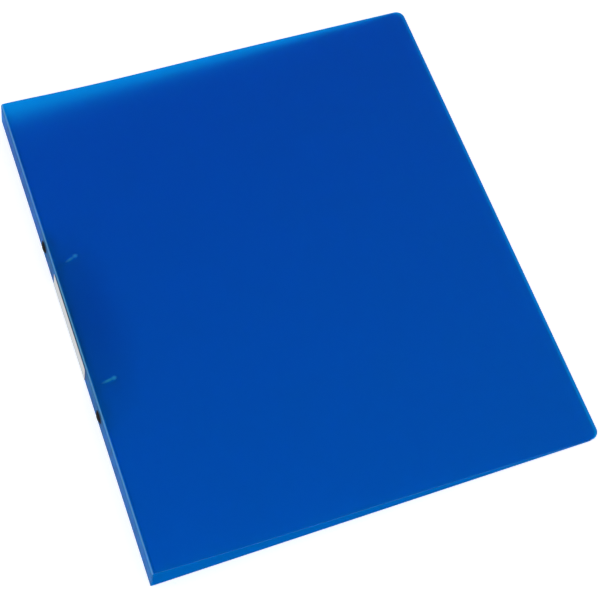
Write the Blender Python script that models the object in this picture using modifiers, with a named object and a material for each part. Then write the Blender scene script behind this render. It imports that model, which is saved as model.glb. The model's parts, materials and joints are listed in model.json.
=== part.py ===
"""Two-ring A4 binder: a folded polypropylene cover with a small riveted ring mechanism.

Metres, +Z up. The closed binder lies on its back cover. +Y runs along the spine, +X from the
spine to the fore-edge. The origin is the centre of the bounding box, at its base. The spine leans
in a little towards the front cover, and everything fixed to it is placed along it.
"""
import math

import bmesh
import bpy
from mathutils import Matrix, Vector

MM = 0.001

# Cover: one creased sheet
COVER_HEIGHT = 315 * MM
COVER_WIDTH = 265 * MM
SHEET = 0.8 * MM
CLOSED_HEIGHT = 19.5 * MM
SPINE_LEAN = 2.2 * MM
CORNER_RADIUS = 5.2 * MM
CREASE = 1.6 * MM
CREASE_THICKNESS = 0.5 * MM
CORNER_STEPS = 10
GAP = 0.3 * MM
FORE_EDGE_GAP = 0.3 * MM

# Ring mechanism, at a height along the leaning spine
MECHANISM_HEIGHT = 10.3 * MM
RING_PITCH = 80 * MM
RIVET_PITCH = 115 * MM
CASE_LENGTH = 130 * MM
CASE_HALF_WIDTH = 5.3 * MM
CASE_SHEET = 0.6 * MM
CASE_WALL_TOP = 2.6 * MM
CASE_CROWN = 4.6 * MM
LIP_INNER = 4.4 * MM
SLOT_SIDES = (1.5 * MM, 4.9 * MM)
SLOT_DEPTHS = (2.2 * MM, 7 * MM)
SLOT_CLEARANCE = 0.45 * MM
BLADE_LENGTH = 124 * MM
BLADE_THICKNESS = 0.7 * MM
BLADE_PIVOT_SIDE = 4.7 * MM
BLADE_PIVOT_DEPTH = 1.7 * MM
BLADE_INNER_SIDE = 0.2 * MM
BLADE_TILT = math.radians(4.25)
NOTCH_CLEARANCE = 0.5 * MM

RING_RADIUS = 6.1 * MM
RING_CENTRE_DEPTH = 9.6 * MM
WIRE_RADIUS = 1.1 * MM
TENON_RADIUS = 0.65 * MM
TENON_FROM_PIVOT = 1.9 * MM
RING_JOIN_ANGLE = math.radians(50)
LEG_LENGTH = 1.7 * MM
STAKE_RADIUS = 1 * MM
STAKE_THICKNESS = 0.25 * MM
STAKE_GAP = 0.2 * MM

RIVET_HEAD_RADIUS = 4.1 * MM
RIVET_HEAD_HEIGHT = 1.25 * MM
RIVET_HEAD_GAP = 0.15 * MM
RIVET_SHANK_RADIUS = 1.25 * MM
RIVET_HOLE_RADIUS = 1.6 * MM
RIVET_FLANGE_RADIUS = 2.2 * MM
RIVET_FLANGE = 0.6 * MM
RIVET_FLANGE_TAPER = 0.3 * MM
RIVET_BORE_RADIUS = 0.8 * MM
RIVET_BORE_DEPTH = 1.5 * MM
SPACER_RADIUS = 2.1 * MM

LABEL_LENGTH = 65 * MM
LABEL_WIDTH = 14 * MM
LABEL_THICKNESS = 0.2 * MM
LABEL_GAP = 0.1 * MM
LABEL_LOW = 1.9 * MM
LABEL_CENTRE_Y = 3 * MM
LABEL_CORNER_RADIUS = 0.8 * MM

# Closed pose, worked out from the sizes above
HALF_HEIGHT = COVER_HEIGHT / 2
FORE_EDGE_Z = SHEET + FORE_EDGE_GAP + SHEET / 2
FRONT_FOLD_Z = CLOSED_HEIGHT - SHEET / 2
FRONT_SLOPE = math.asin((FRONT_FOLD_Z - FORE_EDGE_Z) / COVER_WIDTH)
SPINE_ANGLE = math.atan2(SPINE_LEAN, FRONT_FOLD_Z - SHEET / 2)
SPINE_WIDTH = math.hypot(SPINE_LEAN, FRONT_FOLD_Z - SHEET / 2)
FORE_EDGE_REACH = (SPINE_LEAN + COVER_WIDTH * math.cos(FRONT_SLOPE)
                   + SHEET / 2 * math.sin(FRONT_SLOPE))
HEAD_SPHERE = (RIVET_HEAD_RADIUS ** 2 + RIVET_HEAD_HEIGHT ** 2) / (2 * RIVET_HEAD_HEIGHT)
HEAD_CENTRE = HEAD_SPHERE - SHEET / 2 - RIVET_HEAD_GAP - RIVET_HEAD_HEIGHT
RIVET_REACH = (HEAD_SPHERE - HEAD_CENTRE * math.cos(SPINE_ANGLE)
               - MECHANISM_HEIGHT * math.sin(SPINE_ANGLE))
BACK_FOLD = Vector(((RIVET_REACH - FORE_EDGE_REACH) / 2, 0, SHEET / 2))
FRONT_FOLD = Vector((BACK_FOLD.x + SPINE_LEAN, 0, FRONT_FOLD_Z))

# Along the leaning spine, from the back fold: X goes in from the sheet's middle and Z goes up it
INNER_FACE = SHEET / 2

COLORS = {
    "blue_sheet": ((0.01, 0.09, 0.42, 1), 0.35, 0.0),
    "blue_crease": ((0.02, 0.16, 0.55, 1), 0.35, 0.0),
    "white_card": ((0.80, 0.81, 0.80, 1), 0.8, 0.0),
    "nickel_steel": ((0.62, 0.63, 0.64, 1), 0.25, 1.0),
    "zinc_steel": ((0.50, 0.51, 0.53, 1), 0.35, 1.0),
    "dark_lacquer": ((0.015, 0.015, 0.018, 1), 0.3, 0.6),
}


def clear_scene():
    """Remove every object, so that the script can be run again."""
    for obj in list(bpy.data.objects):
        bpy.data.objects.remove(obj, do_unlink=True)


def new_collection(name):
    collection = bpy.data.collections.new(name)
    bpy.context.scene.collection.children.link(collection)
    return collection


def new_material(name, finish):
    color, roughness, metallic = COLORS[finish]
    material = bpy.data.materials.new(name + "_" + finish)
    material.use_nodes = True
    shader = material.node_tree.nodes["Principled BSDF"]
    shader.inputs["Base Color"].default_value = color
    shader.inputs["Roughness"].default_value = roughness
    shader.inputs["Metallic"].default_value = metallic
    material.diffuse_color = color
    return material


def add_object(name, data, collection, finish=None, parent=None):
    obj = bpy.data.objects.new(name, data)
    collection.objects.link(obj)
    obj.parent = parent
    if finish:
        data.materials.append(new_material(name, finish))
    return obj


def mesh_from_bmesh(name, shape):
    mesh = bpy.data.meshes.new(name)
    shape.to_mesh(mesh)
    shape.free()
    return mesh


def arc(centre, radius, start, end, steps):
    """Points along an arc, as pairs, with both ends included."""
    turns = [start + (end - start) * i / steps for i in range(steps + 1)]
    return [(centre[0] + radius * math.cos(a), centre[1] + radius * math.sin(a)) for a in turns]


def plate(name, outline, thickness, collection, finish):
    """A flat plate in its own XY plane, centred on that plane."""
    curve = bpy.data.curves.new(name, "CURVE")
    curve.dimensions = "2D"
    curve.fill_mode = "BOTH"
    curve.extrude = thickness / 2
    spline = curve.splines.new("POLY")
    spline.points.add(len(outline) - 1)
    for point, (x, y) in zip(spline.points, outline):
        point.co = (x, y, 0, 1)
    spline.use_cyclic_u = True
    return add_object(name, curve, collection, finish)


def folded_sheet(name, profile, length, thickness, collection, finish):
    """A sheet that follows a profile of (x, z) pairs and runs along Y."""
    shape = bmesh.new()
    rows = [[shape.verts.new((x, y, z)) for x, z in profile] for y in (-length / 2, length / 2)]
    for i in range(len(profile) - 1):
        shape.faces.new((rows[0][i], rows[0][i + 1], rows[1][i + 1], rows[1][i]))
    obj = add_object(name, mesh_from_bmesh(name, shape), collection, finish)
    wall = obj.modifiers.new("wall", "SOLIDIFY")
    wall.thickness = thickness
    wall.offset = 0
    wall.use_even_offset = True
    return obj


def turned(name, profile, collection, finish, steps=24):
    """A solid turned about its own Z, from (radius, z) pairs that run from top to bottom."""
    shape = bmesh.new()
    verts = [shape.verts.new((r, 0, z)) for r, z in profile]
    for a, b in zip(verts, verts[1:]):
        shape.edges.new((a, b))
    if profile[0][0] > 0:
        shape.edges.new((verts[-1], verts[0]))
    obj = add_object(name, mesh_from_bmesh(name, shape), collection, finish)
    screw = obj.modifiers.new("turn", "SCREW")
    screw.steps = steps
    screw.render_steps = steps
    screw.use_merge_vertices = True
    screw.merge_threshold = 0.00001
    return obj


def cutter_cylinder(name, radius, depth, place, axis, collection, parent):
    shape = bmesh.new()
    turn = Vector((0, 0, 1)).rotation_difference(axis).to_matrix().to_4x4()
    bmesh.ops.create_cone(shape, cap_ends=True, segments=24, radius1=radius, radius2=radius,
                          depth=depth, matrix=Matrix.Translation(place) @ turn)
    return hide_cutter(add_object(name, mesh_from_bmesh(name, shape), collection, parent=parent))


def cutter_box(name, low, high, collection, parent):
    shape = bmesh.new()
    size = Vector(high) - Vector(low)
    middle = (Vector(high) + Vector(low)) / 2
    place = Matrix.Translation(middle) @ Matrix.Diagonal(size).to_4x4()
    bmesh.ops.create_cube(shape, size=1, matrix=place)
    return hide_cutter(add_object(name, mesh_from_bmesh(name, shape), collection, parent=parent))


def hide_cutter(obj):
    obj.hide_render = True
    obj.display_type = "WIRE"
    return obj


def cut(obj, cutter):
    tool = obj.modifiers.new(cutter.name, "BOOLEAN")
    tool.operation = "DIFFERENCE"
    tool.solver = "EXACT"
    tool.object = cutter


def cover_outline():
    """A cover panel from its crease, at x = CREASE, to its rounded fore-edge corners."""
    inner = COVER_WIDTH - CORNER_RADIUS
    side = HALF_HEIGHT - CORNER_RADIUS
    lower = arc((inner, -side), CORNER_RADIUS, -math.pi / 2, 0, CORNER_STEPS)
    upper = arc((inner, side), CORNER_RADIUS, 0, math.pi / 2, CORNER_STEPS)
    return [(CREASE, -HALF_HEIGHT)] + lower + upper + [(CREASE, HALF_HEIGHT)]


def up_spine(distance):
    """The (x, z) way up the leaning spine, over a distance."""
    return distance * math.sin(SPINE_ANGLE), distance * math.cos(SPINE_ANGLE)


def local(points, origin):
    return [(x - origin.x, z - origin.z) for x, z in points]


def build_covers(parts, cutters, frame):
    """The three panels and the two thin creases between them. Each turns about its fold."""
    back = plate("back_cover", cover_outline(), SHEET, parts, "blue_sheet")
    back.location = BACK_FOLD

    spine = folded_sheet("spine_panel", [(0, CREASE), (0, SPINE_WIDTH - CREASE)], COVER_HEIGHT,
                         SHEET, parts, "blue_sheet")
    spine.parent = frame
    for name, side in (("upper", 1), ("lower", -1)):
        place = Vector((INNER_FACE, side * RIVET_PITCH / 2, MECHANISM_HEIGHT))
        cut(spine, cutter_cylinder("spine_hole_" + name, RIVET_HOLE_RADIUS, 6 * MM, place,
                                   Vector((1, 0, 0)), cutters, frame))

    front = plate("front_cover", cover_outline(), SHEET, parts, "blue_sheet")
    front.location = FRONT_FOLD
    front.rotation_euler = (0, FRONT_SLOPE, 0)

    reach = CREASE - GAP
    back_crease = folded_sheet("back_fold_crease", [(reach, 0), (0, 0), up_spine(reach)],
                               COVER_HEIGHT, CREASE_THICKNESS, parts, "blue_crease")
    back_crease.location = BACK_FOLD
    front_side = (reach * math.cos(FRONT_SLOPE), -reach * math.sin(FRONT_SLOPE))
    front_crease = folded_sheet("front_fold_crease", [up_spine(-reach), (0, 0), front_side],
                                COVER_HEIGHT, CREASE_THICKNESS, parts, "blue_crease")
    front_crease.location = FRONT_FOLD


def build_label(parts, frame):
    """The card label on the spine."""
    half_width = LABEL_WIDTH / 2
    corner_x, corner_y = half_width - LABEL_CORNER_RADIUS, LABEL_LENGTH / 2 - LABEL_CORNER_RADIUS
    outline = []
    for x, y, quarter in ((1, 1, 0), (-1, 1, 1), (-1, -1, 2), (1, -1, 3)):
        start = quarter * math.pi / 2
        outline += arc((x * corner_x, y * corner_y), LABEL_CORNER_RADIUS, start, start + math.pi / 2, 4)
    label = plate("spine_label", outline, LABEL_THICKNESS, parts, "white_card")
    label.parent = frame
    depth = INNER_FACE - SHEET - LABEL_GAP - LABEL_THICKNESS / 2
    label.location = (depth, LABEL_CENTRE_Y, LABEL_LOW + half_width)
    label.rotation_euler = (0, math.pi / 2, 0)


def crown_depth(side):
    """Depth of the case's middle surface from the sheet, at a distance to the side."""
    return CASE_CROWN - (CASE_CROWN - CASE_WALL_TOP) * (side / CASE_HALF_WIDTH) ** 2


def build_case(parts, cutters, frame):
    """The arched steel housing, with slots for the rings and holes for the rivets."""
    lip_depth = GAP + CASE_SHEET / 2
    sides = [CASE_HALF_WIDTH * (1 - i / 6) for i in range(13)]
    crown = [(crown_depth(side), side) for side in sides]
    upper_lip = [(lip_depth, LIP_INNER), (lip_depth, CASE_HALF_WIDTH - GAP),
                 (lip_depth + GAP, CASE_HALF_WIDTH)]
    lower_lip = [(depth, -side) for depth, side in reversed(upper_lip)]
    case = folded_sheet("ring_case", upper_lip + crown + lower_lip, CASE_LENGTH, CASE_SHEET, parts,
                        "nickel_steel")
    case.parent = frame
    case.location = (INNER_FACE, 0, MECHANISM_HEIGHT)
    slot_half = WIRE_RADIUS + SLOT_CLEARANCE
    for name, end in (("upper", 1), ("lower", -1)):
        rivet = Vector((INNER_FACE + CASE_CROWN, end * RIVET_PITCH / 2, MECHANISM_HEIGHT))
        cut(case, cutter_cylinder("case_hole_" + name, RIVET_HOLE_RADIUS, 4 * MM, rivet,
                                  Vector((1, 0, 0)), cutters, frame))
        for half, side in (("front", 1), ("back", -1)):
            y = end * RING_PITCH / 2
            heights = sorted(MECHANISM_HEIGHT + side * distance for distance in SLOT_SIDES)
            low = (INNER_FACE + SLOT_DEPTHS[0], y - slot_half, heights[0])
            high = (INNER_FACE + SLOT_DEPTHS[1], y + slot_half, heights[1])
            cut(case, cutter_box("case_slot_" + half + "_" + name, low, high, cutters, frame))


def blade_point(from_pivot, above, side):
    """The (x, z) of a point on a blade: its distance from the pivot, and above its middle."""
    across = BLADE_PIVOT_SIDE - from_pivot * math.cos(BLADE_TILT) - above * math.sin(BLADE_TILT)
    depth = BLADE_PIVOT_DEPTH - from_pivot * math.sin(BLADE_TILT) + above * math.cos(BLADE_TILT)
    return INNER_FACE + depth, MECHANISM_HEIGHT + side * across


def build_blade(half, side, pivot, parts, cutters, frame):
    """One hinge plate. Its inner edge sits towards the sheet, which holds the rings shut."""
    inner = (BLADE_PIVOT_SIDE - BLADE_INNER_SIDE) / math.cos(BLADE_TILT)
    ends = [blade_point(0, 0, side), blade_point(inner, 0, side)]
    blade = folded_sheet("hinge_blade_" + half, local(ends, pivot.location), BLADE_LENGTH,
                         BLADE_THICKNESS, parts, "zinc_steel")
    blade.parent = pivot
    for name, end in (("upper", 1), ("lower", -1)):
        notch = Vector((INNER_FACE + BLADE_PIVOT_DEPTH, end * RIVET_PITCH / 2, MECHANISM_HEIGHT))
        cut(blade, cutter_cylinder("notch_" + half + "_" + name, SPACER_RADIUS + NOTCH_CLEARANCE,
                                   4 * MM, notch, Vector((1, 0, 0)), cutters, frame))
        x, z = blade_point(TENON_FROM_PIVOT, 0, side)
        above = Vector(blade_point(TENON_FROM_PIVOT, 1, side)) - Vector((x, z))
        hole = Vector((x, end * RING_PITCH / 2, z))
        cut(blade, cutter_cylinder("tenon_hole_" + half + "_" + name, TENON_RADIUS + GAP, 3 * MM,
                                   hole, Vector((above.x, 0, above.y)), cutters, frame))


def half_ring_path(side):
    """(x, z, radius) points of a half ring, from its staked end under the blade to its tip."""
    stake = BLADE_THICKNESS / 2 + STAKE_GAP
    shoulder = BLADE_THICKNESS / 2 + GAP
    step = 0.02 * MM
    heights = [(-stake - STAKE_THICKNESS, STAKE_RADIUS), (-stake, STAKE_RADIUS),
               (-stake + step, TENON_RADIUS), (shoulder - step, TENON_RADIUS),
               (shoulder, WIRE_RADIUS), (LEG_LENGTH, WIRE_RADIUS)]
    points = [blade_point(TENON_FROM_PIVOT, height, side) + (radius,) for height, radius in heights]

    def on_ring(angle):
        return Vector((INNER_FACE + RING_CENTRE_DEPTH + RING_RADIUS * math.sin(angle),
                       MECHANISM_HEIGHT + side * RING_RADIUS * math.cos(angle)))

    leg_end = Vector(points[-1][:2])
    leg_way = (leg_end - Vector(points[-2][:2])).normalized()
    join = on_ring(-RING_JOIN_ANGLE)
    ring_way = Vector((math.cos(RING_JOIN_ANGLE), side * math.sin(RING_JOIN_ANGLE)))
    pull = (join - leg_end).length / 3
    for i in range(1, 5):
        t = i / 5
        bend = (leg_end * (1 - t) ** 3 + (leg_end + leg_way * pull) * 3 * t * (1 - t) ** 2
                + (join - ring_way * pull) * 3 * t * t * (1 - t) + join * t ** 3)
        points.append((bend.x, bend.y, WIRE_RADIUS))
    tip_angle = math.pi / 2 - GAP / 2 / RING_RADIUS
    steps = 18
    for i in range(steps + 1):
        place = on_ring(-RING_JOIN_ANGLE + (tip_angle + RING_JOIN_ANGLE) * i / steps)
        points.append((place.x, place.y, WIRE_RADIUS))
    return points


def build_half_ring(name, side, y, pivot, parts):
    """A bent wire with a tenon that is staked through the blade."""
    curve = bpy.data.curves.new(name, "CURVE")
    curve.dimensions = "3D"
    curve.bevel_depth = WIRE_RADIUS
    curve.bevel_resolution = 3
    curve.use_fill_caps = True
    path = half_ring_path(side)
    spline = curve.splines.new("POLY")
    spline.points.add(len(path) - 1)
    for point, (x, z, radius) in zip(spline.points, path):
        point.co = (x - pivot.location.x, y, z - pivot.location.z, 1)
        point.radius = radius / WIRE_RADIUS
    obj = add_object(name, curve, parts, "nickel_steel")
    obj.parent = pivot
    return obj


def build_blades_and_rings(parts, cutters, frame):
    """Each half: a pivot empty on the blade's outer edge, which carries a blade and two wires."""
    for half, side in (("front", 1), ("back", -1)):
        pivot = add_object("pivot_" + half, None, parts, parent=frame)
        x, z = blade_point(0, 0, side)
        pivot.location = (x, 0, z)
        build_blade(half, side, pivot, parts, cutters, frame)
        for name, end in (("upper", 1), ("lower", -1)):
            build_half_ring("ring_half_" + half + "_" + name, side, end * RING_PITCH / 2, pivot,
                            parts)


def build_fasteners(parts, frame):
    """Two tubular rivets, headed outside the spine and flared over the case, with their spacers."""
    head_base = RIVET_HEAD_GAP + SHEET
    flange_top = -(CASE_CROWN + CASE_SHEET / 2 + 0.2 * MM)
    flange_end = flange_top - RIVET_FLANGE
    bore_end = flange_end + RIVET_BORE_DEPTH
    dome_radius = (RIVET_HEAD_RADIUS ** 2 + RIVET_HEAD_HEIGHT ** 2) / (2 * RIVET_HEAD_HEIGHT)
    dome_centre = head_base + RIVET_HEAD_HEIGHT - dome_radius
    rim = math.atan2(head_base - dome_centre, RIVET_HEAD_RADIUS)
    dome = arc((0, dome_centre), dome_radius, math.pi / 2, rim, 6)[1:]
    profile = [(0, head_base + RIVET_HEAD_HEIGHT)] + dome + [
        (RIVET_SHANK_RADIUS, head_base), (RIVET_SHANK_RADIUS, flange_top),
        (RIVET_FLANGE_RADIUS, flange_top), (RIVET_FLANGE_RADIUS - RIVET_FLANGE_TAPER, flange_end),
        (RIVET_BORE_RADIUS, flange_end), (RIVET_BORE_RADIUS, bore_end), (0, bore_end)]
    spacer_end = crown_depth(SPACER_RADIUS) - CASE_SHEET / 2 - GAP
    wall = [(SPACER_RADIUS, -GAP), (SPACER_RADIUS, -spacer_end),
            (RIVET_HOLE_RADIUS, -spacer_end), (RIVET_HOLE_RADIUS, -GAP)]
    for name, end in (("upper", 1), ("lower", -1)):
        place = (INNER_FACE, end * RIVET_PITCH / 2, MECHANISM_HEIGHT)
        for obj in (turned("rivet_" + name, profile, parts, "dark_lacquer"),
                    turned("rivet_spacer_" + name, wall, parts, "zinc_steel")):
            obj.parent = frame
            obj.location = place
            obj.rotation_euler = (0, -math.pi / 2, 0)


def main():
    clear_scene()
    parts = new_collection("ring_binder")
    cutters = new_collection("cutters")
    frame = add_object("spine_frame", None, parts)
    frame.location = BACK_FOLD
    frame.rotation_euler = (0, SPINE_ANGLE, 0)
    build_covers(parts, cutters, frame)
    build_label(parts, frame)
    build_case(parts, cutters, frame)
    build_blades_and_rings(parts, cutters, frame)
    build_fasteners(parts, frame)


main()
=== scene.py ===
"""Two-ring A4 binder: the finished cover sheet, ring mechanism, rivets and label.

Metres, +Z up. The closed binder lies on its back cover, with its spine along Y at low X.
"""
import json
import logging
import math
from collections.abc import Callable, Iterable, Sequence
from dataclasses import dataclass
from enum import Enum
from itertools import chain

import bmesh
import bpy
from mathutils import Matrix, Quaternion, Vector


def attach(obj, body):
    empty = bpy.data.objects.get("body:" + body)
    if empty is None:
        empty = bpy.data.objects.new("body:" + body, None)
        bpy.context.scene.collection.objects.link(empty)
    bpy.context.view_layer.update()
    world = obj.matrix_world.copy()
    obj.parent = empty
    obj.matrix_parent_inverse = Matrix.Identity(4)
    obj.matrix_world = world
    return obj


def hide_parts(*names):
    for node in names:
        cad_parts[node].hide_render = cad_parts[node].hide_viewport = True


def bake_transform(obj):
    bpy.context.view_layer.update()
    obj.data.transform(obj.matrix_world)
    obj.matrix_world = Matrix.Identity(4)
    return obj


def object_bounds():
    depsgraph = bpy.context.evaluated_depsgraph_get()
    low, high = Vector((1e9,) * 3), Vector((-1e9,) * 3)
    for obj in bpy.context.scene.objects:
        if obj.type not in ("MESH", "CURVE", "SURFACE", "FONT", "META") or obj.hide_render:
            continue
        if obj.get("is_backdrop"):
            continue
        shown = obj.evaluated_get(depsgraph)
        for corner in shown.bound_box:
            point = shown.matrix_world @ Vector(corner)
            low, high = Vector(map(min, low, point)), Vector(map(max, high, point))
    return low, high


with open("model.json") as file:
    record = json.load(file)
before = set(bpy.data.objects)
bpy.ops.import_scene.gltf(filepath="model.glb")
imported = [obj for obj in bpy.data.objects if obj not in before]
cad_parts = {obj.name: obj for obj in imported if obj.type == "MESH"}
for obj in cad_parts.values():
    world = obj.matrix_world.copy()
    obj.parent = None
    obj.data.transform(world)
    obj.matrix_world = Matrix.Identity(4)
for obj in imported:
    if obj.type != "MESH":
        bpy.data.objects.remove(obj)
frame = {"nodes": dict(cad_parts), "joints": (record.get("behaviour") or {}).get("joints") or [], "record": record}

CAD_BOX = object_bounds()
MM = 0.001
LOG = logging.getLogger("ring_binder")

SHARP_EDGE = math.radians(35)
SPOT_CORE = 0.2
SPOT_DEPTH = 1000.0

Colour = tuple[float, float, float]
Triple = tuple[float, float, float]
Point = tuple[float, float]
Span = tuple[float, float]


class Place(Enum):
    """A place on the mechanism: a word for the names of its pieces, and a side."""

    @property
    def side(self) -> int:
        """Return the place's side, 1 or -1."""
        return self.value[1]


class Half(Place):
    """Which blade a half ring is staked to: 1 is towards the front cover, -1 the back cover."""

    FRONT = ("front", 1)
    BACK = ("back", -1)

    @property
    def body(self) -> str:
        """Return the name of the body that carries this half."""
        return self.value[0] + "_ring_halves"


class End(Place):
    """Which end of the spine a ring or a rivet is nearer to: 1 is the head, -1 the foot."""

    UPPER = ("upper", 1)
    LOWER = ("lower", -1)


@dataclass(frozen=True)
class PaintedLightMark:
    """A soft oval of painted light on the front cover: a painted highlight over a ring's top, or painted shade
    over the mechanism.
    """

    centre: Point
    half: Point
    # The default colour is that of the painted highlights over the ring tops.
    colour: Colour = (0.14, 0.95, 1.0)
    turn: float = 0.0
    strength: float = 1.0


# Painted shade over the mechanism, then painted highlights where the two rings' tops show through the front cover.
PAINTED_LIGHT_MARKS = (
    PaintedLightMark((-119 * MM, 0.0), (22 * MM, 66 * MM), (0.0, 0.20, 0.55), strength=0.5),
    PaintedLightMark((-120.1 * MM, 40.5 * MM), (4.0 * MM, 1.1 * MM), turn=math.radians(23), strength=0.7),
    PaintedLightMark((-117.0 * MM, 41.9 * MM), (1.9 * MM, 1.6 * MM)),
    PaintedLightMark((-121.2 * MM, -41.3 * MM), (4.6 * MM, 1.1 * MM), turn=math.radians(11), strength=0.8),
    PaintedLightMark((-117.6 * MM, -40.6 * MM), (1.9 * MM, 1.6 * MM)))


class NodePen:
    """Draws one material's node tree."""

    def __init__(self, name: str) -> None:
        """Start a material that holds a lone Principled shader.

        Args:
            name: The material's name.
        """
        self.material = bpy.data.materials.new(name)
        self.material.use_nodes = True
        self.tree = self.material.node_tree
        self.shader = self.tree.nodes["Principled BSDF"]

    def constants(self, **values: float | Colour) -> None:
        """Set the shader's own sockets.

        Args:
            values: Socket names, with an underscore for each space, and their values.
        """
        for name, value in values.items():
            title = name.replace("_", " ")
            socket = next(s for s in self.shader.inputs if s.name.lower() == title.lower())
            socket.default_value = (*value, 1) if isinstance(value, tuple) else value

    def add(self, kind: str, settings: dict[str, object] | None = None,
            **inputs: object) -> bpy.types.Node:
        """Add a node.

        Args:
            kind: The node's type name.
            settings: Properties of the node itself.
            inputs: Socket names, with an underscore for each space, and a value or an output.

        Returns:
            The new node.
        """
        node = self.tree.nodes.new(kind)
        for name, value in (settings or {}).items():
            setattr(node, name, value)
        for name, value in inputs.items():
            socket = node.inputs[name.replace("_", " ")]
            if isinstance(value, bpy.types.NodeSocket):
                self.tree.links.new(value, socket)
            else:
                socket.default_value = value
        return node

    def plug(self, output: bpy.types.NodeSocket, name: str) -> None:
        """Link an output to one of the shader's sockets.

        Args:
            output: The output to link from.
            name: The shader's socket.
        """
        self.tree.links.new(output, self.shader.inputs[name])

    def place(self, stretch: Sequence[float] = (1, 1, 1)) -> bpy.types.NodeSocket:
        """Give the object's own coordinates, stretched along its axes.

        Args:
            stretch: How much finer the pattern is along each axis.

        Returns:
            The coordinates' output.
        """
        coordinates = self.add("ShaderNodeTexCoord").outputs["Object"]
        return self.add("ShaderNodeMapping", Vector=coordinates, Scale=stretch).outputs["Vector"]

    def noise(self, scale: float, detail: float = 2.0,
              stretch: Sequence[float] = (1, 1, 1)) -> bpy.types.NodeSocket:
        """Give a noise pattern on the object's own coordinates.

        Args:
            scale: Features per metre.
            detail: Octaves of finer noise.
            stretch: How much finer the pattern is along each axis.

        Returns:
            The noise's factor.
        """
        node = self.add("ShaderNodeTexNoise", Vector=self.place(stretch), Scale=scale,
                        Detail=detail)
        return node.outputs["Factor" if "Factor" in node.outputs else "Fac"]

    def spread(self, factor: bpy.types.NodeSocket, low: float, high: float,
               start: float = 0.3, stop: float = 0.7) -> bpy.types.NodeSocket:
        """Map a factor onto a range of values.

        Args:
            factor: The factor to map.
            low: The value at start.
            high: The value at stop.
            start: The factor that gives low.
            stop: The factor that gives high.

        Returns:
            The mapped value.
        """
        node = self.add("ShaderNodeMapRange", Value=factor, From_Min=start, From_Max=stop,
                        To_Min=low, To_Max=high)
        return node.outputs["Result"]

    def slope(self, way: Sequence[float], start: float, stop: float) -> bpy.types.NodeSocket:
        """Ramp from 0 to 1 along a direction in the object's own coordinates.

        Args:
            way: The direction.
            start: How far along it the ramp starts, in metres.
            stop: How far along it the ramp ends.

        Returns:
            The ramp.
        """
        along = self.add("ShaderNodeVectorMath", {"operation": "DOT_PRODUCT"})
        self.tree.links.new(self.place(), along.inputs[0])
        along.inputs[1].default_value = tuple(way)
        return self.spread(along.outputs["Value"], 0, 1, start, stop)

    def spot(self, mark: PaintedLightMark) -> bpy.types.NodeSocket:
        """Give a soft oval spot, seen along Z in the object's own coordinates.

        Args:
            mark: Where the spot lies and how large it is.

        Returns:
            A factor, 1 inside the spot and 0 outside it.
        """
        place = self.add("ShaderNodeMapping", {"vector_type": "TEXTURE"},
                         Vector=self.add("ShaderNodeTexCoord").outputs["Object"],
                         Location=(*mark.centre, 0), Rotation=(0, 0, mark.turn),
                         Scale=(*mark.half, SPOT_DEPTH))
        away = self.add("ShaderNodeVectorMath", {"operation": "LENGTH"})
        self.tree.links.new(place.outputs["Vector"], away.inputs[0])
        return self.spread(away.outputs["Value"], mark.strength, 0, SPOT_CORE, 1)

    def blend(self, factor: bpy.types.NodeSocket, first: object,
              second: object) -> bpy.types.NodeSocket:
        """Blend two colours.

        Args:
            factor: How much of the second colour shows.
            first: A colour or a colour output.
            second: A colour or a colour output.

        Returns:
            The blended colour.
        """
        node = self.add("ShaderNodeMix", {"data_type": "RGBA"})
        self.tree.links.new(factor, node.inputs["Factor"])
        for value, socket in ((first, node.inputs[6]), (second, node.inputs[7])):
            if isinstance(value, bpy.types.NodeSocket):
                self.tree.links.new(value, socket)
            else:
                socket.default_value = (*value, 1)
        return node.outputs[2]

    def bump(self, height: bpy.types.NodeSocket, distance: float, strength: float = 1.0,
             normal: bpy.types.NodeSocket | None = None) -> bpy.types.NodeSocket:
        """Raise the surface by a height pattern.

        Args:
            height: The pattern.
            distance: Its full height in metres.
            strength: How much of it shows.
            normal: A coarser bump that this one lies on.

        Returns:
            The bumped normal.
        """
        node = self.add("ShaderNodeBump", Height=height, Distance=distance, Strength=strength)
        if normal is not None:
            self.tree.links.new(normal, node.inputs["Normal"])
        return node.outputs["Normal"]


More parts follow.
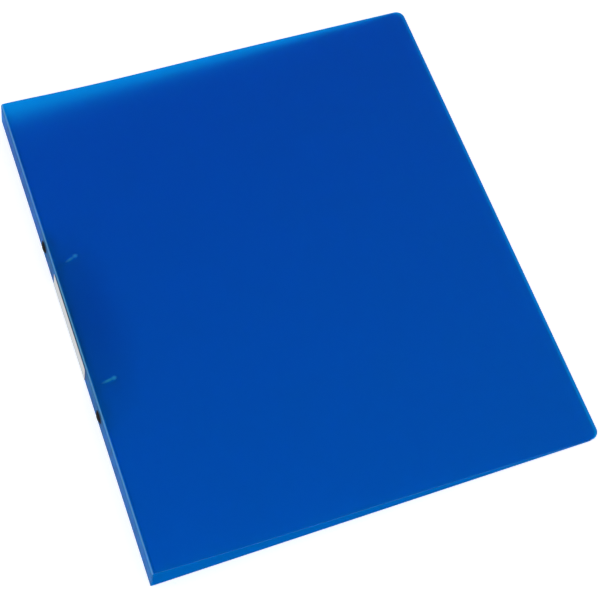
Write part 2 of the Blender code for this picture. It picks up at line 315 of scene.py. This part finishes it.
@dataclass(frozen=True)
class FrostedSheet:
    """Translucent blue polypropylene with a fine matt grain on both faces, its colour painted lighter towards the
    foot.
    """

    name: str = "frosted_blue_sheet"
    colour: Colour = (0.0, 0.297, 0.735)
    # Painted light: the sheet is coloured lighter towards the foot.
    painted_light_foot_colour: Colour = (0.0, 0.365, 0.75)
    # The colour of the painted shade along a rim.
    painted_shade_colour: Colour = (0.0, 0.19, 0.57)
    sheen_tint: Colour = (0.0, 0.12, 0.22)
    roughness: Span = (0.74, 0.78)
    clearness: float = 0.92
    ior: float = 1.36
    grain_scale: float = 2600
    grain_height: float = 0.02 * MM
    wave_scale: float = 9
    wave_height: float = 0.25 * MM
    foot_way: Triple = (0.1, -1, 0)
    foot_band: Span = (-160 * MM, 160 * MM)
    # Where the painted shade along a rim lies, and how strong it is.
    rim_way: Triple = (0, 0, 0)
    rim_band: Span = (0, 0)
    painted_rim_shade: float = 0.0
    # Painted highlights and painted shade, as soft ovals on the sheet.
    painted_marks: tuple[PaintedLightMark, ...] = ()

    def tone(self, pen: NodePen) -> bpy.types.NodeSocket:
        """Give the sheet's colour, with painted light: lighter to the foot, a painted shade along its rim, and its
        painted highlights and shade.

        Args:
            pen: The material's pen.

        Returns:
            The colour.
        """
        along = pen.slope(self.foot_way, *self.foot_band)
        tone = pen.blend(along, self.colour, self.painted_light_foot_colour)
        if self.painted_rim_shade:
            rim = pen.spread(pen.slope(self.rim_way, *self.rim_band), 0, self.painted_rim_shade, 0, 1)
            tone = pen.blend(rim, tone, self.painted_shade_colour)
        for mark in self.painted_marks:
            tone = pen.blend(pen.spot(mark), tone, mark.colour)
        return tone

    def grain(self, pen: NodePen) -> bpy.types.NodeSocket:
        """Give the sheet's fine grain, and roughen the shader by it.

        Args:
            pen: The material's pen.

        Returns:
            The grain's pattern.
        """
        fine = pen.noise(self.grain_scale, 3)
        pen.plug(pen.spread(fine, *self.roughness), "Roughness")
        return fine

    def material(self) -> bpy.types.Material:
        """Dress the sheet.

        Returns:
            The material.
        """
        pen = NodePen(self.name)
        pen.constants(transmission_weight=self.clearness, ior=self.ior,
                      specular_tint=self.sheen_tint)
        pen.plug(self.tone(pen), "Base Color")
        fine = self.grain(pen)
        slow = pen.bump(pen.noise(self.wave_scale, 1), self.wave_height)
        pen.plug(pen.bump(fine, self.grain_height, normal=slow), "Normal")
        return pen.material


@dataclass(frozen=True)
class CreasedSheet:
    """The same sheet where it is creased, with a painted highlight along the ridge."""

    sheet: FrostedSheet = FrostedSheet()
    name: str = "crease_painted_highlight"
    # The painted highlight's colour, and how clear the sheet is under it.
    painted_highlight: Colour = (0.19, 0.60, 0.88)
    highlight_clearness: float = 0.35
    attribute: str = "highlight_share"

    def material(self) -> bpy.types.Material:
        """Dress the crease, with its painted highlight read from an attribute of its piece.

        Returns:
            The material.
        """
        pen = NodePen(self.name)
        pen.constants(ior=self.sheet.ior, specular_tint=self.sheet.sheen_tint)
        highlight_share = pen.add("ShaderNodeAttribute", {"attribute_name": self.attribute}).outputs["Fac"]
        pen.plug(pen.blend(highlight_share, self.sheet.tone(pen), self.painted_highlight), "Base Color")
        clearness = pen.spread(highlight_share, self.sheet.clearness, self.highlight_clearness, 0, 1)
        pen.plug(clearness, "Transmission Weight")
        pen.plug(pen.bump(self.sheet.grain(pen), self.sheet.grain_height), "Normal")
        return pen.material


@dataclass(frozen=True)
class CardFinish:
    """Matt white card with short fibres."""

    name: str = "white_card"
    colour: Colour = (0.66, 0.68, 0.69)
    fibre: Colour = (0.62, 0.64, 0.65)
    fibre_scale: float = 1500
    fibre_stretch: Triple = (1, 0.35, 1)
    fibre_height: float = 0.03 * MM
    roughness: Span = (0.75, 0.9)
    gloss: float = 0.25

    def material(self) -> bpy.types.Material:
        """Dress the card.

        Returns:
            The material.
        """
        pen = NodePen(self.name)
        pen.constants(specular_ior_level=self.gloss)
        fibres = pen.noise(self.fibre_scale, 4, self.fibre_stretch)
        pen.plug(pen.blend(pen.spread(fibres, 0, 1), self.colour, self.fibre), "Base Color")
        pen.plug(pen.spread(fibres, *self.roughness), "Roughness")
        pen.plug(pen.bump(fibres, self.fibre_height), "Normal")
        return pen.material


@dataclass(frozen=True)
class Plated:
    """Plated steel with fine drawn lines and a soft mottle."""

    name: str
    colour: Colour
    dull: Colour
    roughness: Span
    lines: Triple = (1.0, 0.05, 1.0)
    line_depth: float = 0.004 * MM
    metal: float = 1.0
    gloss: float = 0.5
    mottle_scale: float = 260
    line_scale: float = 5200

    def material(self) -> bpy.types.Material:
        """Dress the steel.

        Returns:
            The material.
        """
        pen = NodePen(self.name)
        pen.constants(metallic=self.metal, specular_ior_level=self.gloss)
        mottle = pen.noise(self.mottle_scale, 3)
        pen.plug(pen.blend(pen.spread(mottle, 0, 1), self.colour, self.dull), "Base Color")
        drawn = pen.noise(self.line_scale, 2, self.lines)
        pen.plug(pen.spread(drawn, *self.roughness), "Roughness")
        pen.plug(pen.bump(drawn, self.line_depth), "Normal")
        return pen.material


NICKEL = Plated("nickel_case", (0.80, 0.80, 0.79), (0.72, 0.72, 0.71), (0.22, 0.32))
WIRE = Plated("nickel_wire", (0.94, 0.94, 0.93), (0.90, 0.90, 0.89), (0.14, 0.22), (1, 1, 1),
              0.002 * MM)
ZINC = Plated("zinc_steel", (0.55, 0.57, 0.60), (0.44, 0.46, 0.49), (0.30, 0.42), (0.6, 0.6, 1))
LACQUER = Plated("dark_lacquer", (0.008, 0.009, 0.010), (0.014, 0.014, 0.016), (0.50, 0.60),
                 (1, 1, 1), 0.006 * MM, 0.0, 0.03)


def new_piece(name: str, data: bpy.types.ID, dress: bpy.types.Material) -> bpy.types.Object:
    """Add an object at the origin and dress it.

    Args:
        name: The piece's name.
        data: Its mesh or curve.
        dress: Its material.

    Returns:
        The new object.
    """
    piece = bpy.data.objects.new(name, data)
    bpy.context.scene.collection.objects.link(piece)
    data.materials.append(dress)
    return piece


def mesh_of(name: str, shape: bmesh.types.BMesh) -> bpy.types.Mesh:
    """Turn a cage into a smooth-shaded mesh and free it.

    Args:
        name: The mesh's name.
        shape: The cage.

    Returns:
        The mesh.
    """
    for face in shape.faces:
        face.smooth = True
    mesh = bpy.data.meshes.new(name)
    shape.to_mesh(mesh)
    shape.free()
    return mesh


def net(name: str, rows: Sequence[Sequence[Vector]],
        keep: Callable[[int, int], bool] = lambda i, j: True) -> bpy.types.Mesh:
    """Span faces between rows of points.

    Args:
        name: The mesh's name.
        rows: Rows of points, all of one length.
        keep: Whether the face at a row and a column is made.

    Returns:
        The mesh.
    """
    shape = bmesh.new()
    grid = [[shape.verts.new(point) for point in row] for row in rows]
    for i in range(len(grid) - 1):
        for j in range(len(grid[0]) - 1):
            if keep(i, j):
                corners = (grid[i][j], grid[i + 1][j], grid[i + 1][j + 1], grid[i][j + 1])
                shape.faces.new(corners)
    loose = [v for v in shape.verts if not v.link_faces]
    bmesh.ops.delete(shape, geom=loose, context="VERTS")
    return mesh_of(name, shape)


def wall(piece: bpy.types.Object, thickness: float) -> None:
    """Thicken a sheet evenly about its middle surface.

    Args:
        piece: The piece.
        thickness: The sheet's thickness.
    """
    solid = piece.modifiers.new("wall", "SOLIDIFY")
    solid.thickness = thickness
    solid.offset = 0
    solid.use_even_offset = True


def round_edges(piece: bpy.types.Object, width: float, segments: int = 2) -> None:
    """Round a piece's sharp edges.

    Args:
        piece: The piece.
        width: How wide the rounding is.
        segments: Its facets.
    """
    edge = piece.modifiers.new("edge", "BEVEL")
    edge.width = width
    edge.segments = segments
    edge.limit_method = "ANGLE"
    edge.angle_limit = SHARP_EDGE
    edge.harden_normals = True


def set_stack(piece: bpy.types.Object, place: Matrix | None = None) -> None:
    """Apply a piece's modifiers, and then its place, to its mesh.

    Args:
        piece: The piece.
        place: Where the mesh goes, if it was made at its own origin.
    """
    graph = bpy.context.evaluated_depsgraph_get()
    finished = bpy.data.meshes.new_from_object(piece.evaluated_get(graph), depsgraph=graph)
    finished.name = piece.name
    if place is not None:
        finished.transform(place)
    piece.modifiers.clear()
    piece.data = finished


def arc(centre: Point, radius: float, start: float, stop: float, steps: int) -> list[Point]:
    """Give points along an arc, with both ends included.

    Args:
        centre: The arc's centre.
        radius: Its radius.
        start: The angle of its first point.
        stop: The angle of its last point.
        steps: How many pieces it's cut into.

    Returns:
        The points.
    """
    turns = [start + (stop - start) * i / steps for i in range(steps + 1)]
    return [(centre[0] + radius * math.cos(a), centre[1] + radius * math.sin(a)) for a in turns]


@dataclass
class CoverSheet:
    """One sheet, creased twice: back cover, spine and front cover, with a strip at each fold."""

    height: float = 315 * MM
    width: float = 265 * MM
    thickness: float = 0.8 * MM
    crease: float = 1.6 * MM
    crease_thickness: float = 0.6 * MM
    seam: float = 0.03 * MM
    corner_radius: float = 5.2 * MM
    back_bend_radius: float = 1.0 * MM
    front_bend_radius: float = 0.8 * MM
    # The painted highlight along each fold's ridge: how far it reaches and how strong it is.
    ridge_reach: float = 0.65 * MM
    sag: float = 1.6 * MM
    sag_rise: float = 2.0
    sag_fall: float = 6.5
    ridge_highlight: float = 1.4
    edge: float = 0.16 * MM
    columns: int = 28
    cover_steps: int = 26
    corner_steps: int = 10
    spine_steps: int = 8
    flat_steps: int = 3
    bend_steps: int = 10
    fold_columns: int = 8
    # The back cover: a painted shadow along its foot, where the front cover hangs over it.
    back_painted_shadow: FrostedSheet = FrostedSheet(
        name="back_sheet_painted_shadow", rim_way=(-0.0204, -1, 0), rim_band=(153.6 * MM, 155.6 * MM),
        painted_rim_shade=0.65)
    # The front cover: painted shade along its fore edge, painted shade over the mechanism and painted highlights
    # over the rings.
    front_painted_light: FrostedSheet = FrostedSheet(
        name="front_sheet_painted_light", rim_way=(1, 0, 0), rim_band=(130.5 * MM, 132.5 * MM),
        painted_rim_shade=0.6, painted_marks=PAINTED_LIGHT_MARKS)
    # The spine: a copy of the sheet whose reflections are tinted greyer, standing in for the grazing sheen on the
    # spine.
    spine_grey_sheen: FrostedSheet = FrostedSheet(
        name="spine_sheet_grey_sheen", sheen_tint=(0.25, 0.34, 0.29))
    creased: CreasedSheet = CreasedSheet()

    def __post_init__(self) -> None:
        """Take the fold lines and the front cover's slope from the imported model."""
        places = {joint["name"]: Vector(joint["pos_m"]) for joint in frame["joints"]}
        self.back_fold = places["back_fold"]
        self.front_fold = places["front_fold"]
        face = next(m for m in frame["record"]["mounts"] if m["name"] == "front_face")
        self.slope = math.asin(face["axis"][0])
        self.spine_way = (self.front_fold - self.back_fold).normalized()

    def stations(self) -> list[Point]:
        """Give the places across a cover, with half its height at each.

        Returns:
            Pairs of distance from the fold and half height.
        """
        straight = self.width - self.corner_radius
        half = self.height / 2
        first = self.crease + self.seam
        pairs = [(first + (straight - first) * i / self.cover_steps, half)
                 for i in range(self.cover_steps)]
        turns = [math.radians(90 * i / self.corner_steps) for i in range(self.corner_steps + 1)]
        return pairs + [(straight + self.corner_radius * math.sin(a),
                         half - self.corner_radius * (1 - math.cos(a))) for a in turns]

    def sag_at(self, distance: float) -> float:
        """Say how far the front cover hangs below a straight line.

        Args:
            distance: How far from the fold.

        Returns:
            The sag.
        """
        def shape(share: float) -> float:
            """Give the sag's unscaled height over a share of the width."""
            return share ** self.sag_rise * (1 - share) ** self.sag_fall

        share = max(0.0, min(1.0, distance / self.width))
        return self.sag * shape(share) / shape(self.sag_rise / (self.sag_rise + self.sag_fall))

    def front_point(self, distance: float) -> Point:
        """Give the front cover's (x, z) at a distance from its fold.

        Args:
            distance: How far from the fold.

        Returns:
            The point on its middle surface.
        """
        drop = self.sag_at(distance)
        return (self.front_fold.x + distance * math.cos(self.slope) - drop * math.sin(self.slope),
                self.front_fold.z - distance * math.sin(self.slope) - drop * math.cos(self.slope))

    def back_point(self, distance: float) -> Point:
        """Give the back cover's (x, z) at a distance from its fold."""
        return self.back_fold.x + distance, self.back_fold.z

    def spine_foot(self, distance: float) -> Point:
        """Give the spine's (x, z) at a distance from the back fold."""
        place = self.back_fold + self.spine_way * distance
        return place.x, place.z

    def spine_head(self, distance: float) -> Point:
        """Give the spine's (x, z) at a distance before the front fold."""
        place = self.front_fold - self.spine_way * distance
        return place.x, place.z

    def build_cover(self, name: str, body: str, point: Callable[[float], Point],
                    dress: bpy.types.Material) -> bpy.types.Object:
        """Build a flat cover with two rounded corners.

        Args:
            name: The piece's name.
            body: The body that it rides on.
            point: Its (x, z) at a distance from its fold.
            dress: Its material.

        Returns:
            The cover.
        """
        rows = []
        for distance, half in self.stations():
            x, z = point(distance)
            rows.append([Vector((x, half * (2 * j / self.columns - 1), z))
                         for j in range(self.columns + 1)])
        cover = new_piece(name, net(name, rows), dress)
        wall(cover, self.thickness)
        round_edges(cover, self.edge)
        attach(cover, body)
        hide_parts(body)
        return cover

    def build_spine(self, dress: bpy.types.Material) -> bpy.types.Object:
        """Build the spine, which leans in towards the front cover.

        Args:
            dress: Its material.

        Returns:
            The spine.
        """
        margin = self.crease + self.seam
        length = (self.front_fold - self.back_fold).length - 2 * margin
        profile = [self.spine_foot(margin + length * i / self.spine_steps)
                   for i in range(self.spine_steps + 1)]
        rows = [[Vector((x, self.height * (j / self.columns - 0.5), z))
                 for j in range(self.columns + 1)] for x, z in profile]
        spine = new_piece("spine_sheet", net("spine_sheet", rows), dress)
        wall(spine, self.thickness)
        round_edges(spine, self.edge)
        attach(spine, "spine")
        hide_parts("spine_panel")
        return spine

    def bend(self, before: Callable[[float], Point], after: Callable[[float], Point],
             radius: float) -> list[Point]:
        """Give the profile of a fold, rounded between its two sides.

        Args:
            before: (x, z) at a distance before the fold.
            after: (x, z) at a distance after it.
            radius: How far from the fold line the rounding starts.

        Returns:
            The profile.
        """
        reach = [self.crease - (self.crease - radius) * i / self.flat_steps
                 for i in range(self.flat_steps)]
        start, stop = Vector(before(radius)), Vector(after(radius))
        fold = (Vector(before(0)) + Vector(after(0))) / 2
        middle = [start * (1 - t) ** 2 + fold * 2 * t * (1 - t) + stop * t * t
                  for t in (i / self.bend_steps for i in range(self.bend_steps + 1))]
        return ([before(d) for d in reach] + [tuple(p) for p in middle]
                + [after(d) for d in reversed(reach)])

    def build_fold(self, name: str, profile: list[Point],
                   fold: Vector, dress: bpy.types.Material) -> bpy.types.Object:
        """Build the thin strip at a fold, bent round between the sheets on either side.

        Args:
            name: The piece's name.
            profile: Its (x, z) points from the first body to the second.
            fold: The fold line's place.
            dress: Its material.

        Returns:
            The strip.
        """
        rows = [[Vector((x, self.height * (j / self.fold_columns - 0.5), z))
                 for j in range(self.fold_columns + 1)] for x, z in profile]
        strip = new_piece(name, net(name, rows), dress)
        wall(strip, self.crease_thickness)
        round_edges(strip, self.edge / 2)
        set_stack(strip)
        # Painted highlight along the fold's ridge, fading away from the fold line.
        painted_highlight = strip.data.attributes.new(self.creased.attribute, "FLOAT", "POINT")
        for vertex, value in zip(strip.data.vertices, painted_highlight.data):
            away = math.hypot(vertex.co.x - fold.x, vertex.co.z - fold.z)
            highlight_share = self.ridge_highlight * (1 - away / self.ridge_reach)
            value.value = max(0.0, min(1.0, highlight_share))
        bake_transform(strip)
        return strip

    def build(self) -> Iterable[bpy.types.Object]:
        """Build the whole sheet.

        Returns:
            Its pieces, one after another.
        """
        crease = self.creased.material()
        yield self.build_cover("back_cover_sheet", "back_cover", self.back_point,
                               self.back_painted_shadow.material())
        yield self.build_spine(self.spine_grey_sheen.material())
        yield self.build_cover("front_cover_sheet", "front_cover", self.front_point,
                               self.front_painted_light.material())
        strip = self.build_fold("back_fold_strip",
                                self.bend(self.back_point, self.spine_foot,
                                          self.back_bend_radius),
                                self.back_fold, crease)
        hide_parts("back_fold_crease")
        yield strip
        strip = self.build_fold("front_fold_strip",
                                self.bend(self.spine_head, self.front_point,
                                          self.front_bend_radius),
                                self.front_fold, crease)
        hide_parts("front_fold_crease")
        yield strip


@dataclass
class RingMechanism:
    """The arched case with its wires, on the inside of the spine."""

    ring_pitch: float = 80 * MM
    case_length: float = 130 * MM
    case_half_width: float = 5.3 * MM
    case_sheet: float = 0.6 * MM
    wall_top: float = 2.6 * MM
    crown: float = 4.6 * MM
    lip_inner: float = 4.4 * MM
    lip_gap: float = 0.3 * MM
    case_edge: float = 0.1 * MM
    slot_sides: Span = (1.5 * MM, 4.9 * MM)
    slot_stations: Triple = (4.2 * MM, 3.3 * MM, 2.4 * MM)
    slot_half: float = 1.55 * MM
    crest_side: float = 0.75 * MM
    end_stations: Span = (6 * MM, 2 * MM)
    end_taper: float = 0.86
    pivot_side: float = 4.7 * MM
    pivot_depth: float = 1.7 * MM
    blade_tilt: float = math.radians(4.25)
    stake_from_pivot: float = 1.9 * MM
    leg_start: float = 0.65 * MM
    leg_end: float = 1.7 * MM
    ring_radius: float = 6.1 * MM
    ring_centre: float = 9.6 * MM
    wire_radius: float = 1.1 * MM
    join_angle: float = math.radians(50)
    tip_gap: float = 0.15 * MM
    tip_round: float = 0.25 * MM
    tip_taper: float = 0.82
    leg_steps: int = 6
    ring_steps: int = 30
    wire_facets: int = 5

    def __post_init__(self) -> None:
        """Take the mechanism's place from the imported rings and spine."""
        places = {joint["name"]: Vector(joint["pos_m"]) for joint in frame["joints"]}
        front, back = places["rings_open"], places["rings_open_back"]
        self.up = (front - back).normalized()
        self.inward = Vector((self.up.z, 0, -self.up.x))
        self.seat = (front + back) / 2 - self.inward * self.pivot_depth

    def at(self, depth: float, side: float, y: float = 0.0) -> Vector:
        """Give the place at a depth inside the spine's inner face and at a side."""
        return self.seat + self.inward * depth + self.up * side + Vector((0, y, 0))

    def crown_depth(self, side: float) -> float:
        """Give the depth of the case's middle surface at a distance to the side."""
        return self.crown - (self.crown - self.wall_top) * (side / self.case_half_width) ** 2

    def build_case(self) -> bpy.types.Object:
        """Build the arched case with its curled lips and its four wire slots.

        Returns:
            The case.
        """
        low = self.lip_gap + self.case_sheet / 2
        lip = [(low, self.lip_inner), (low, self.case_half_width - self.lip_gap),
               (low + self.lip_gap, self.case_half_width)]
        near, far = self.slot_sides
        sides = [self.case_half_width, far, *self.slot_stations, near, self.crest_side, 0]
        half = lip + [(self.crown_depth(side), side) for side in sides]
        profile = half + [(depth, -side) for depth, side in reversed(half[:-1])]
        ring_y, end_y = self.ring_pitch / 2, self.case_length / 2
        stops = [ring_y - self.slot_half, ring_y + self.slot_half]
        outer = [stops[0] / 2] + stops + [end_y - short for short in self.end_stations] + [end_y]
        lengths = [-y for y in reversed(outer)] + [0] + outer
        rows = []
        for y in lengths:
            tight = self.end_taper if abs(y) == end_y else 1.0
            rows.append([self.at(depth, side * tight, y) for depth, side in profile])

        def kept(i: int, j: int) -> bool:
            """Say whether a face is kept, away from the slots that the wires pass through.

            Args:
                i: The face's row.
                j: The face's column.

            Returns:
                Whether the face is kept.
            """
            y = (lengths[i] + lengths[i + 1]) / 2
            side = abs(profile[j][1] + profile[j + 1][1]) / 2
            in_crown = min(profile[j][0], profile[j + 1][0]) > self.wall_top
            return not (abs(abs(y) - ring_y) < self.slot_half and near < side < far and in_crown)

        case = new_piece("ring_case_shell", net("ring_case_shell", rows, kept), NICKEL.material())
        wall(case, self.case_sheet)
        round_edges(case, self.case_edge)
        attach(case, "spine")
        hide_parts("ring_case")
        return case

    def wire_path(self, side: int) -> list[tuple[Vector, float]]:
        """Give a half ring's points and radii, from its stake to its tip.

        Args:
            side: 1 towards the front cover and -1 towards the back cover.

        Returns:
            Pairs of place and radius.
        """
        def on_blade(above: float) -> Vector:
            """Give the wire's place where it is staked.

            Args:
                above: The height above the blade's middle.

            Returns:
                The place.
            """
            reach = self.stake_from_pivot
            across = (self.pivot_side - reach * math.cos(self.blade_tilt)
                      - above * math.sin(self.blade_tilt))
            depth = (self.pivot_depth - reach * math.sin(self.blade_tilt)
                     + above * math.cos(self.blade_tilt))
            return self.at(depth, side * across)

        def on_ring(angle: float) -> Vector:
            """Give a place on the ring.

            Args:
                angle: The angle from the ring's widest point.

            Returns:
                The place.
            """
            return self.at(self.ring_centre + self.ring_radius * math.sin(angle),
                           side * self.ring_radius * math.cos(angle))

        foot, leg = on_blade(self.leg_start), on_blade(self.leg_end)
        join = on_ring(-self.join_angle)
        leg_way = (leg - foot).normalized()
        ring_way = (self.inward * math.cos(self.join_angle)
                    + self.up * side * math.sin(self.join_angle))
        pull = (join - leg).length / 3
        points = [(foot, self.wire_radius), (leg, self.wire_radius)]
        for t in (i / self.leg_steps for i in range(1, self.leg_steps)):
            points.append((leg * (1 - t) ** 3 + (leg + leg_way * pull) * 3 * t * (1 - t) ** 2
                           + (join - ring_way * pull) * 3 * t * t * (1 - t) + join * t ** 3,
                           self.wire_radius))
        tip = math.pi / 2 - self.tip_gap / self.ring_radius
        for i in range(self.ring_steps + 1):
            angle = -self.join_angle + (tip + self.join_angle) * i / self.ring_steps
            points.append((on_ring(angle), self.wire_radius))
        points[-1] = (points[-1][0], self.tip_taper * self.wire_radius)
        points.insert(-1, (on_ring(tip - self.tip_round / self.ring_radius), self.wire_radius))
        return points

    def build_wire(self, half: Half, end: End, dress: bpy.types.Material) -> bpy.types.Object:
        """Build one bent wire.

        Args:
            half: Which blade it's staked to.
            end: Which ring it belongs to.
            dress: Its material.

        Returns:
            The wire.
        """
        name = f"ring_wire_{half.value[0]}_{end.value[0]}"
        curve = bpy.data.curves.new(name, "CURVE")
        curve.dimensions = "3D"
        curve.bevel_depth = self.wire_radius
        curve.bevel_resolution = self.wire_facets
        curve.use_fill_caps = True
        path = self.wire_path(half.side)
        spline = curve.splines.new("POLY")
        spline.points.add(len(path) - 1)
        spline.use_smooth = True
        for point, (place, radius) in zip(spline.points, path):
            point.co = (place.x, end.side * self.ring_pitch / 2, place.z, 1)
            point.radius = radius / self.wire_radius
        wire = new_piece(name, curve, dress)
        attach(wire, half.body)
        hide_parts(f"ring_half_{half.value[0]}_{end.value[0]}")
        return wire

    def dress_hidden_parts(self) -> None:
        """Give the blades and the spacers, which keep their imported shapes, their zinc finish."""
        dress = ZINC.material()
        for name in ("hinge_blade_front", "hinge_blade_back", "rivet_spacer_upper",
                     "rivet_spacer_lower"):
            node = frame["nodes"][name]
            for slot in node.material_slots:
                slot.material = dress

    def build(self) -> Iterable[bpy.types.Object]:
        """Build the case and the four wires.

        Returns:
            The pieces, one after another.
        """
        yield self.build_case()
        dress = WIRE.material()
        for half in Half:
            for end in End:
                yield self.build_wire(half, end, dress)
        self.dress_hidden_parts()


@dataclass
class Rivets:
    """The two rivets, domed outside the spine and flared over the case."""

    pitch: float = 115 * MM
    head_radius: float = 4.1 * MM
    head_height: float = 1.25 * MM
    head_gap: float = 0.12 * MM
    sheet: float = 0.8 * MM
    shank_radius: float = 1.25 * MM
    flare_radius: float = 2.2 * MM
    flare_depth: float = 5.1 * MM
    flare_height: float = 0.6 * MM
    bore_radius: float = 0.8 * MM
    flare_chamfer: float = 0.3 * MM
    bore_depth: float = 1.5 * MM
    head_rim: float = 0.25 * MM
    edge: float = 0.12 * MM
    merge: float = 0.001 * MM
    dome_steps: int = 8
    steps: int = 48

    def profile(self) -> list[Point]:
        """Give the rivet's (radius, height) profile from its dome to its flared end.

        Returns:
            The profile from top to bottom.
        """
        base = self.head_gap + self.sheet
        dome = (self.head_radius ** 2 + self.head_height ** 2) / (2 * self.head_height)
        centre = base + self.head_height - dome
        rim = math.atan2(base + self.head_rim - centre, self.head_radius)
        curve = arc((0, centre), dome, math.pi / 2, rim, self.dome_steps)[1:]
        low, end = -self.flare_depth, -self.flare_depth - self.flare_height
        return ([(0, base + self.head_height)] + curve
                + [(self.head_radius, base), (self.shank_radius, base), (self.shank_radius, low),
                   (self.flare_radius, low), (self.flare_radius - self.flare_chamfer, end),
                   (self.bore_radius, end), (self.bore_radius, end + self.bore_depth),
                   (0, end + self.bore_depth)])

    def build(self, mechanism: RingMechanism) -> Iterable[bpy.types.Object]:
        """Build both rivets.

        Args:
            mechanism: The mechanism that they fasten.

        Returns:
            The rivets, one after another.
        """
        dress = LACQUER.material()
        for end in End:
            name = "rivet_" + end.value[0]
            shape = bmesh.new()
            verts = [shape.verts.new((radius, 0, height)) for radius, height in self.profile()]
            for first, second in zip(verts, verts[1:]):
                shape.edges.new((first, second))
            rivet = new_piece("domed_" + name, mesh_of(name, shape), dress)
            turn = rivet.modifiers.new("turn", "SCREW")
            turn.steps = turn.render_steps = self.steps
            turn.use_merge_vertices = True
            turn.merge_threshold = self.merge
            turn.use_smooth_shade = True
            round_edges(rivet, self.edge)
            place = (Matrix.Translation(mechanism.at(0, 0, end.side * self.pitch / 2))
                     @ (-mechanism.inward).to_track_quat("Z", "Y").to_matrix().to_4x4())
            set_stack(rivet, place)
            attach(rivet, "spine")
            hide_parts(name)
            yield rivet


@dataclass
class SpineLabel:
    """The card label on the flat of the spine."""

    length: float = 65 * MM
    middle_y: float = 3 * MM
    sides: Span = (-8.4 * MM, 5.6 * MM)
    depth: float = -1.0 * MM
    corner_radius: float = 0.8 * MM
    corner_steps: int = 6
    thickness: float = 0.2 * MM
    edge: float = 0.04 * MM

    def build(self, mechanism: RingMechanism) -> bpy.types.Object:
        """Build the label.

        Args:
            mechanism: The mechanism, whose place on the spine the label is measured from.

        Returns:
            The label.
        """
        radius = self.corner_radius
        low, high = self.sides[0] + radius, self.sides[1] - radius
        near, far = (self.middle_y + way * (self.length / 2 - radius) for way in (-1, 1))
        shape = bmesh.new()
        outline = []
        for quarter, centre in enumerate(((far, high), (near, high), (near, low), (far, low))):
            start = quarter * math.pi / 2
            corner = arc(centre, radius, start, start + math.pi / 2, self.corner_steps)
            outline += [shape.verts.new(mechanism.at(self.depth, side, y)) for y, side in corner]
        shape.faces.new(outline)
        label = new_piece("spine_label_card", mesh_of("spine_label_card", shape),
                          CardFinish().material())
        wall(label, self.thickness)
        round_edges(label, self.edge)
        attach(label, "spine")
        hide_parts("spine_label")
        return label


@dataclass(frozen=True)
class Softbox:
    """A soft square light that faces the binder, with its side in metres and power in watts."""

    name: str
    place: Triple
    size: float
    power: float


@dataclass
class Studio:
    """A white floor, soft light all round and the camera."""

    floor_size: float = 40.0
    floor_drop: float = 0.1 * MM
    floor_colour: Colour = (0.90, 0.90, 0.90)
    floor_mottle: float = 0.99
    floor_mottle_scale: float = 3
    floor_glow: float = 0.49
    sky: float = 0.70
    lights: tuple[Softbox, ...] = (Softbox("key_light", (-1.0, -1.1, 1.5), 1.4, 5),
                                   Softbox("fill_light", (1.3, -0.8, 1.2), 1.2, 2))
    camera_place: Triple = (-0.1604, -0.4244, 0.8566)
    camera_aim: Triple = (-0.0005, -0.0241, 0.0100)
    camera_roll: float = math.radians(2.64)
    lens: float = 97.5
    bounces: int = 24

    def build_floor(self) -> None:
        """Build the floor that the binder lies on."""
        pen = NodePen("white_floor")
        pen.constants(roughness=0.9, specular_ior_level=0.1, emission_color=(1.0, 1.0, 1.0),
                      emission_strength=self.floor_glow)
        tone = pen.noise(self.floor_mottle_scale, 1)
        soft = tuple(value * self.floor_mottle for value in self.floor_colour)
        pen.plug(pen.blend(pen.spread(tone, 0, 1), self.floor_colour, soft), "Base Color")
        shape = bmesh.new()
        bmesh.ops.create_grid(shape, x_segments=4, y_segments=4, size=self.floor_size / 2,
                              matrix=Matrix.Translation((0, 0, -self.floor_drop)))
        floor = new_piece("studio_floor", mesh_of("studio_floor", shape), pen.material)
        floor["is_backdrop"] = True

    def build_light(self, softbox: Softbox) -> None:
        """Hang one light.

        Args:
            softbox: What it is like and where it hangs.
        """
        lamp = bpy.data.lights.new(softbox.name, "AREA")
        lamp.shape = "SQUARE"
        lamp.size = softbox.size
        lamp.energy = softbox.power
        light = bpy.data.objects.new(softbox.name, lamp)
        light.location = softbox.place
        light.rotation_mode = "QUATERNION"
        light.rotation_quaternion = (-Vector(softbox.place)).to_track_quat("-Z", "Y")
        bpy.context.scene.collection.objects.link(light)

    def build_sky(self) -> None:
        """Light the scene evenly from all round."""
        world = bpy.data.worlds.new("soft_room")
        world.use_nodes = True
        shade = world.node_tree.nodes["Background"]
        shade.inputs["Color"].default_value = (1, 1, 1, 1)
        shade.inputs["Strength"].default_value = self.sky
        bpy.context.scene.world = world

    def build_camera(self) -> None:
        """Place the camera."""
        optics = bpy.data.cameras.new("camera")
        optics.lens = self.lens
        camera = bpy.data.objects.new("camera", optics)
        place, aim = Vector(self.camera_place), Vector(self.camera_aim)
        camera.location = place
        camera.rotation_mode = "QUATERNION"
        camera.rotation_quaternion = ((aim - place).to_track_quat("-Z", "Y")
                                      @ Quaternion((0, 0, 1), self.camera_roll))
        bpy.context.scene.collection.objects.link(camera)
        bpy.context.scene.camera = camera

    def build(self) -> None:
        """Set the whole studio up."""
        self.build_floor()
        self.build_sky()
        for softbox in self.lights:
            self.build_light(softbox)
        self.build_camera()
        scene = bpy.context.scene
        scene.view_settings.view_transform = "Standard"
        scene.cycles.max_bounces = self.bounces
        scene.cycles.transmission_bounces = self.bounces


def write_sizes() -> None:
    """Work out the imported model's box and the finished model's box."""
    boxes = [[list(corner) for corner in box] for box in (CAD_BOX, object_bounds())]


def main() -> None:
    """Build the binder piece by piece, and then the studio round it."""
    logging.basicConfig(level=logging.INFO, format="%(name)s: %(message)s")
    mechanism = RingMechanism()
    pieces = chain([SpineLabel().build(mechanism)], CoverSheet().build(), mechanism.build(),
                   Rivets().build(mechanism))
    for piece in pieces:
        LOG.info("built %s", piece.name)
    Studio().build()
    write_sizes()


if __name__ == "__main__":
    main()
